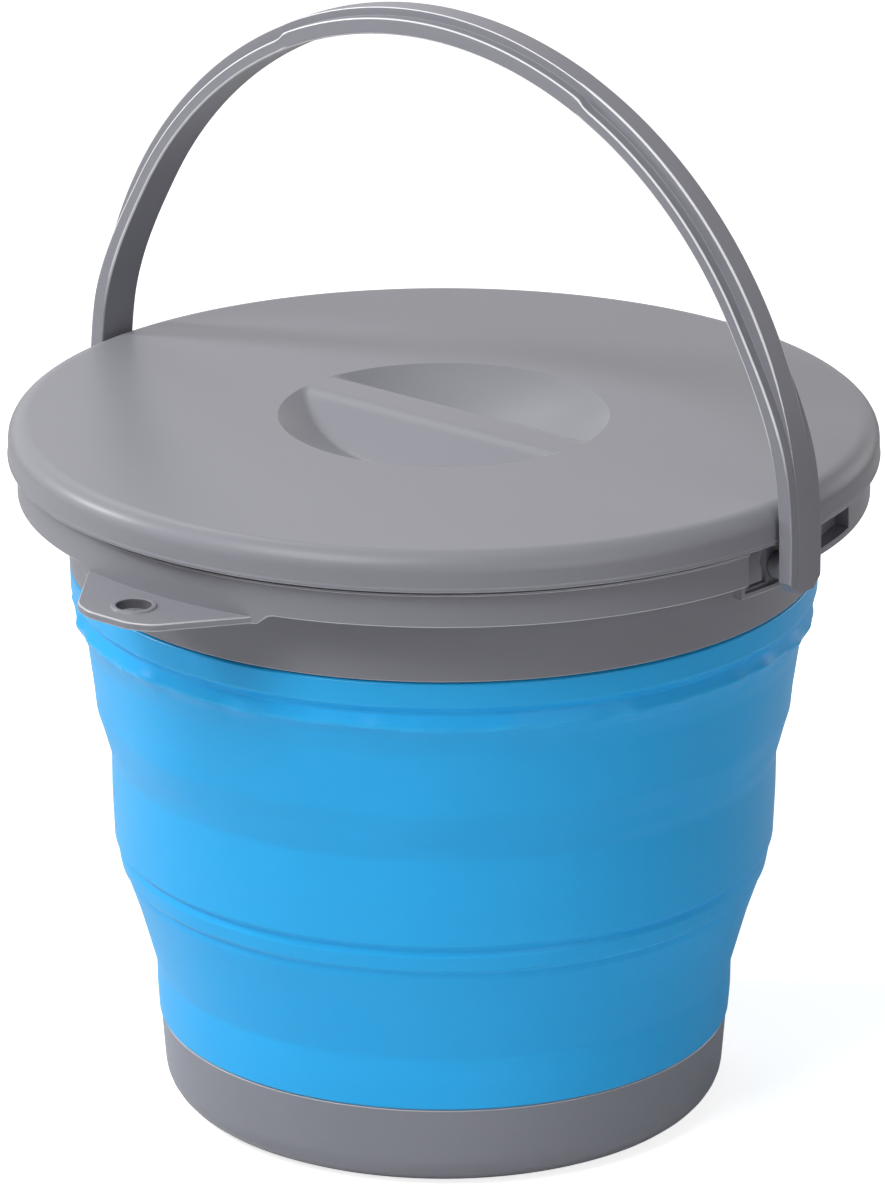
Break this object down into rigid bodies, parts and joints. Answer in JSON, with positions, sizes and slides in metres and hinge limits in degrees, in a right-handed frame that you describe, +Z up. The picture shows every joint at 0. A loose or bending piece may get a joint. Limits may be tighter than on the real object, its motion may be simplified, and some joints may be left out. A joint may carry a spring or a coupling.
{
  "type": "folding bucket",
  "caption": "Folding camp bucket: soft wall with nesting rings between a hard base and rim, a lift-off lid with finger wells, an arched carrying handle and a hanging tab with a hole.",
  "frame": {"origin": "centre of the pan's flat bottom, on the floor", "axes": "+Z up along the bucket's axis, +X along the handle's pivot line, -Y towards the hanging tab"},
  "size_m": [0.3222, 0.3314, 0.4012],
  "materials": {
    "pan": "moulded grey polypropylene, satin",
    "wall_lower_cuff": "soft blue thermoplastic rubber, satin",
    "wall_lower_fold": "soft blue thermoplastic rubber, satin",
    "wall_middle_ring": "soft blue thermoplastic rubber, satin",
    "wall_upper_fold": "soft blue thermoplastic rubber, satin",
    "wall_top_cuff": "soft blue thermoplastic rubber, satin",
    "rim": "moulded grey polypropylene, satin",
    "lid": "moulded grey polypropylene, satin",
    "bail_handle": "moulded grey polypropylene, satin"
  },
  "bodies": {
    "base": {"pan": "pan", "wall_lower_cuff": "wall_lower_cuff", "wall_lower_fold": "wall_lower_fold"},
    "ring": {"wall_middle_ring": "wall_middle_ring", "wall_upper_fold": "wall_upper_fold"},
    "rim": {"rim": "rim", "wall_top_cuff": "wall_top_cuff"},
    "lid": {"lid": "lid"},
    "handle": {"bail_handle": "bail_handle"}
  },
  "joints": [
    {"name": "ring_sink", "type": "slide", "parent": "base", "child": "ring", "axis": [0, 0, 1], "range_m": [-0.088, 0], "deforming": ["wall_lower_fold"]},
    {"name": "rim_sink", "type": "slide", "parent": "ring", "child": "rim", "axis": [0, 0, 1], "range_m": [-0.092, 0], "deforming": ["wall_upper_fold"]},
    {"name": "handle_swing", "type": "hinge", "parent": "rim", "child": "handle", "pos_m": [0, 0, 0.2315], "axis": [1, 0, 0], "range_deg": [-125, 88]},
    {"name": "lid_lift", "type": "slide", "parent": "rim", "child": "lid", "axis": [0, 0, 1], "range_m": [0, 0.0103]}
  ],
  "couplings": [
    {"joint": "rim_sink", "follows": "ring_sink", "ratio": 1.0455}
  ]
}
